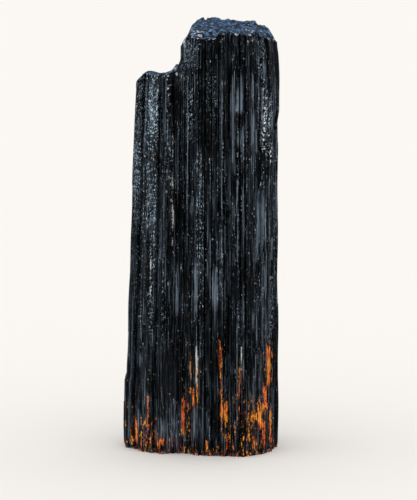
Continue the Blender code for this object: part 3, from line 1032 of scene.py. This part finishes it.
# Painted reflected sky on the breaks, darkened by painted shade in the crevices.
painted_break_sky_and_shade = over(tree, BLUE_BLACK, BREAK_SKY_BLUE, ramp(facet_tone, -0.2, 0.8))
rust = over(tree, ORANGE, AMBER, ramp(add(ragged, swing(clouds, 0.8)), 0.44, 0.62))
layers = [
    (SLATE, lines),
    # painted highlights of hairlines
    (HIGHLIGHT_GREY, times(hairline_highlight_share, unbroken)),
    # painted sky and shade of the breaks
    (painted_break_sky_and_shade, times(is_broken, 0.95)),
    # painted glints on the break's crests
    (BLUE_GLINT, times(facet_glint, 0.8)),
    # painted glints on the slivers
    (SLIVER_GLINT_GREY, sliver_glint_share),
    # painted glints on flakes, pebbles and cracks
    (GLINT, times(flake_glint_share, outside_hollow_shade)),
    (over(tree, GLINT, BLUE_GLINT, is_broken), times(pebble_glint_share, outside_hollow_shade)),
    (GLINT, crack_glint_share),
    # crumbs and painted rim highlight
    (CRUMB_AND_HIGHLIGHT_WHITE, times(crumb_and_rim_highlight_share, outside_hollow_shade)),
    # painted sheen of the frosted patches
    (SHEEN_GREY, frost_and_sheen_share),
    # painted highlights on rib edges
    (HIGHLIGHT_GREY, times(rib_highlight_share, 0.9)),
    # painted shade in the grooves
    (BLACK, times(in_painted_groove_shade, 0.85)),
    (PALE, times(pale_share, 0.9)),
    (BROWN, times(brown_share, 0.85)),
    (rust, orange_share),
]
colour = BLACK
for paint, share in layers:
    colour = over(tree, colour, paint, share)
tree.links.new(colour, shader.inputs["Base Color"])
print(f"{len(layers)} layers over black, {len(tree.nodes)} nodes")

# %% [markdown]
# ## Gloss and relief of the stone
#
# Smooth faces are glossy, frosted patches and stain are dull. Fine relief comes from the same
# patterns as the colour, so that a lighter line also stands out. The splinters' tilt
# is added to the direction the surface faces, and the dark facets of a break lean to the front.

# %% The tourmaline material: gloss and relief
BUMP_DEPTH = 0.8
FORWARD_LEAN = 1.1
gloss = ramp(broad, 0.3, 0.7, 0.18, 0.36)
gloss = add(gloss, times(frost_and_sheen_share, 0.2), swing(crumbs, 0.2))
gloss = math("ADD", gloss, times(brown_share, 0.42), use_clamp=True)
tree.links.new(gloss, shader.inputs["Roughness"])

upright = times(add(times(rib_lines, 0.5), times(fine_lines, 0.35)), unbroken)
roughened = add(times(is_broken, 1), times(is_sparkling, 0.35), 0.12)
chipped = times(add(times(crumbs, 0.8), times(ragged, 0.25)), roughened)
bump = made(tree, "ShaderNodeBump")
bump.inputs["Strength"].default_value = 1
bump.inputs["Distance"].default_value = BUMP_DEPTH * MM
tree.links.new(add(upright, chipped), bump.inputs["Height"])


def tilt(node, size):
    """A cell's own lean: its three random numbers, moved to swing about zero, times a size."""
    about_zero = vector("SUBTRACT", node.outputs["Lot"], (0.5, 0.5, 0.5))
    return vector("SCALE", about_zero, None, None, size)


lean = vector("ADD", tilt(flakes, add(times(is_sparkling, 0.55), 0.12)), tilt(slivers, 0.22))
lean = vector("ADD", lean, tilt(pebbles, add(times(is_broken, 0.4), 0.03)))
lean = vector("ADD", lean, tilt(facets, times(is_broken, 1.1)))
shaded = times(ramp(facet_tone, 0.2, -0.4), is_broken)
forward = made(tree, "ShaderNodeCombineXYZ", None, times(shaded, -FORWARD_LEAN)).outputs[0]
lean = vector("ADD", lean, forward)
facing = vector("NORMALIZE", vector("ADD", bump.outputs["Normal"], lean))
tree.links.new(facing, shader.inputs["Normal"])
skin_mesh.materials.append(stone)
print(f"{len(tree.nodes)} nodes in {stone.name}")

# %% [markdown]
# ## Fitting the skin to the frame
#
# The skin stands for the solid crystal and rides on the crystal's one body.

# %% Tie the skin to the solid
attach(crystal_skin, "root")
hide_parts("tourmaline_crystal")
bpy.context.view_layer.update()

# %% [markdown]
# ## The floor
#
# The crystal rests on a plain pale floor, a disc so large that its edge is never seen.
# A black stone mirrors what is in front of it, so the floor is pale to the eye and dark in
# reflections. That keeps the front faces black.

# %% Lay the floor
CREAM = (0.965, 0.939, 0.896, 1)
DARK_GREY = (0.05, 0.05, 0.05, 1)
FLOOR_RADIUS = 60
FLOOR_SIDES = 96
FLOOR_ROUGHNESS = 0.9

turns = np.linspace(0, 2 * np.pi, FLOOR_SIDES, endpoint=False)
ring = FLOOR_RADIUS * np.stack([np.cos(turns), np.sin(turns), 0 * turns], axis=1)
floor = placed("studio_floor", mesh_from("studio_floor", ring / MM, [np.arange(FLOOR_SIDES)[None]]))
floor_paint = bpy.data.materials.new("pale_floor")
floor_paint.use_nodes = True
floor_tree = floor_paint.node_tree
floor_shader = floor_tree.nodes["Principled BSDF"]
mirrored = made(floor_tree, "ShaderNodeLightPath").outputs["Is Glossy Ray"]
floor_tree.links.new(over(floor_tree, CREAM, DARK_GREY, mirrored), floor_shader.inputs["Base Color"])
floor_shader.inputs["Roughness"].default_value = FLOOR_ROUGHNESS
floor_shader.inputs["Specular IOR Level"].default_value = 0
floor.data.materials.append(floor_paint)
print("floor laid")

# %% [markdown]
# ## Light
#
# A black stone shows only what it mirrors. So it gets tall soft boxes at the left and the right
# that draw the ribs, one high in front for the faces, a bluish one behind for the broken top, and
# two for the far side. They shine on the stone alone. The even glow that lights the floor comes
# from all around, and in reflections it is dim.

# %% Hang the lights
AIM = (0, 0, 0.13)
lit = bpy.data.collections.new("lit_by_the_boxes")
lit.objects.link(crystal_skin)


def soft_box(name, azimuth, elevation, away, width, height, glow, tint):
    """A flat rectangular lamp on a sphere round the crystal, turned to face it. Azimuth 0 is in
    front, and it grows to the right. Glow is its brightness, whatever its size."""
    turn, rise = np.radians(azimuth), np.radians(elevation)
    out = np.array([np.sin(turn) * np.cos(rise), -np.cos(turn) * np.cos(rise), np.sin(rise)])
    lamp = bpy.data.lights.new(name, "AREA")
    lamp.shape = "RECTANGLE"
    lamp.size, lamp.size_y = width, height
    lamp.energy = glow * np.pi * width * height
    lamp.color = tint
    box = placed(name, lamp)
    box.location = np.array(AIM) + away * out
    box.rotation_euler = (np.pi / 2 - rise, 0, turn)
    box.light_linking.receiver_collection = lit


soft_box("left_box", -92, 22, 1.3, 0.26, 1.1, 1.2, (0.74, 0.87, 1))
soft_box("right_box", 80, 18, 1.4, 0.18, 1.1, 1.2, (0.78, 0.89, 1))
soft_box("top_box", 178, 24, 1.4, 0.5, 0.3, 0.5, (0.38, 0.62, 1))
soft_box("front_box", -32, 50, 1.3, 0.4, 0.4, 4.2, (0.8, 0.9, 1))
soft_box("far_left_box", -150, 20, 1.5, 0.4, 1, 0.9, (0.9, 0.95, 1))
soft_box("far_right_box", 140, 24, 1.5, 0.4, 1, 0.9, (0.9, 0.95, 1))

WHITE = (1, 1, 1, 1)
DIM_BLUE = (0.014, 0.021, 0.033, 1)
world = bpy.data.worlds.new("studio")
bpy.context.scene.world = world
world.use_nodes = True
air = world.node_tree
ray = made(air, "ShaderNodeLightPath").outputs
glow = over(air, WHITE, CREAM, ray["Is Camera Ray"])
sky = over(air, glow, DIM_BLUE, ray["Is Glossy Ray"])
air.links.new(sky, air.nodes["Background"].inputs["Color"])
bpy.context.scene.view_settings.view_transform = "Standard"

# %% [markdown]
# ## The camera
#
# The camera stands in front, a little above the middle of the crystal, with a long lens. A small
# shift of the picture centres the crystal.

# %% Set the camera
CAMERA_AWAY = 1.3
CAMERA_RISE = np.radians(6)
LENS = 153.37
SENSOR_WIDTH = 36
PICTURE_SHIFT = (0.0155, -0.033)
middle_height = 0.5 * HEIGHT * MM
camera = placed("camera", bpy.data.cameras.new("camera"))
camera.location = (0, -CAMERA_AWAY * np.cos(CAMERA_RISE), middle_height + CAMERA_AWAY * np.sin(CAMERA_RISE))
camera.rotation_euler = (np.pi / 2 - CAMERA_RISE, 0, 0)
camera.data.sensor_width = SENSOR_WIDTH
camera.data.lens = LENS
camera.data.shift_x, camera.data.shift_y = PICTURE_SHIFT
bpy.context.scene.camera = camera
print("the camera is", CAMERA_AWAY, "m from the crystal")
